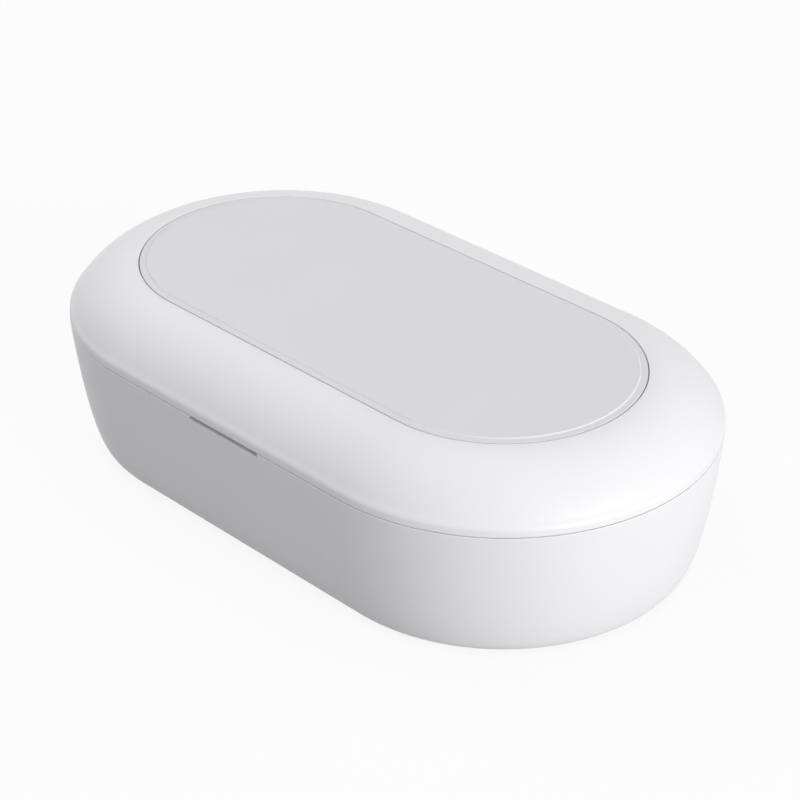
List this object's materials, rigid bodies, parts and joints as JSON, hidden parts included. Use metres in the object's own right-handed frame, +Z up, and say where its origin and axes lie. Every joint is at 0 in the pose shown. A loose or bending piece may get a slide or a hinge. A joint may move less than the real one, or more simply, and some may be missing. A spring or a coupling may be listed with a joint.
{
  "type": "uv sanitizer box",
  "caption": "Oval hinged-lid UV-C sanitizer box for a phone, with a wireless charging pad set into the domed lid, a finger notch in front, and a rear start button and power inlet.",
  "frame": {"origin": "under the middle of the bounding box, on the plane that the feet stand on", "axes": "+X along the long side, +Y from the front to the hinge at the back, +Z up"},
  "size_m": [0.2, 0.1168, 0.0527],
  "materials": {
    "case_shell": "moulded white ABS, satin",
    "charging_pad": "moulded white ABS, fine satin",
    "chamber_liner": "moulded white ABS, polished inside",
    "bottom_cover": "moulded white ABS, spark-eroded texture",
    "foot_rubber": "moulded grey silicone rubber, matt",
    "screw_steel": "zinc-plated steel",
    "pin_steel": "ground stainless steel",
    "inlet_steel": "nickel-plated steel",
    "magnet": "nickel-plated magnet",
    "board_laminate": "green solder mask on glass-epoxy",
    "light_board": "white solder mask on aluminium",
    "emitter": "ceramic package with a clear lens",
    "window": "clear fused quartz, polished",
    "coil_copper": "enamelled copper winding",
    "ferrite": "black ferrite sheet, matt",
    "switch_black": "black moulded nylon",
    "status_lens": "clear polycarbonate light pipe"
  },
  "bodies": {
    "base": {"base_shell": "case_shell", "inner_tray": "chamber_liner", "bottom_cover": "bottom_cover", "hinge_pin": "pin_steel", "foot_front_left": "foot_rubber", "foot_front_right": "foot_rubber", "foot_rear_left": "foot_rubber", "foot_rear_right": "foot_rubber", "cover_screw_front_left": "screw_steel", "cover_screw_front_right": "screw_steel", "cover_screw_rear_left": "screw_steel", "cover_screw_rear_right": "screw_steel", "main_board": "board_laminate", "usb_c_inlet": "inlet_steel", "start_switch": "switch_black", "status_led": "emitter", "status_lens": "status_lens", "board_screw_front_left": "screw_steel", "board_screw_front_right": "screw_steel", "board_screw_rear_left": "screw_steel", "board_screw_rear_right": "screw_steel", "base_window": "window", "base_light_bar": "light_board", "base_uv_led_1": "emitter", "base_uv_led_2": "emitter", "base_uv_led_3": "emitter", "base_uv_led_4": "emitter", "base_bar_screw_left": "screw_steel", "base_bar_screw_right": "screw_steel", "base_magnet_left": "magnet", "base_magnet_right": "magnet", "lid_sensor": "switch_black"},
    "lid": {"lid_shell": "case_shell", "charging_pad": "charging_pad", "charging_coil": "coil_copper", "ferrite_sheet": "ferrite", "charger_board": "board_laminate", "lid_liner": "chamber_liner", "lid_window": "window", "lid_light_bar": "light_board", "lid_uv_led_1": "emitter", "lid_uv_led_2": "emitter", "lid_uv_led_3": "emitter", "lid_uv_led_4": "emitter", "lid_bar_screw_left": "screw_steel", "lid_bar_screw_right": "screw_steel", "lid_magnet_left": "magnet", "lid_magnet_right": "magnet", "lid_screw_front_left": "screw_steel", "lid_screw_front_right": "screw_steel", "lid_screw_rear_left": "screw_steel", "lid_screw_rear_right": "screw_steel", "charger_screw_1": "screw_steel", "charger_screw_2": "screw_steel"},
    "start_button": {"start_button": "case_shell", "switch_plunger": "switch_black"}
  },
  "joints": [
    {"name": "lid_hinge", "type": "hinge", "parent": "base", "child": "lid", "pos_m": [0, 0.0556, 0.0385], "axis": [-1, 0, 0], "range_deg": [0, 105]},
    {"name": "start_button_press", "type": "slide", "parent": "base", "child": "start_button", "axis": [0, -1, 0], "range_m": [0, 0.0006], "stiffness_N_per_m": 2500}
  ]
}
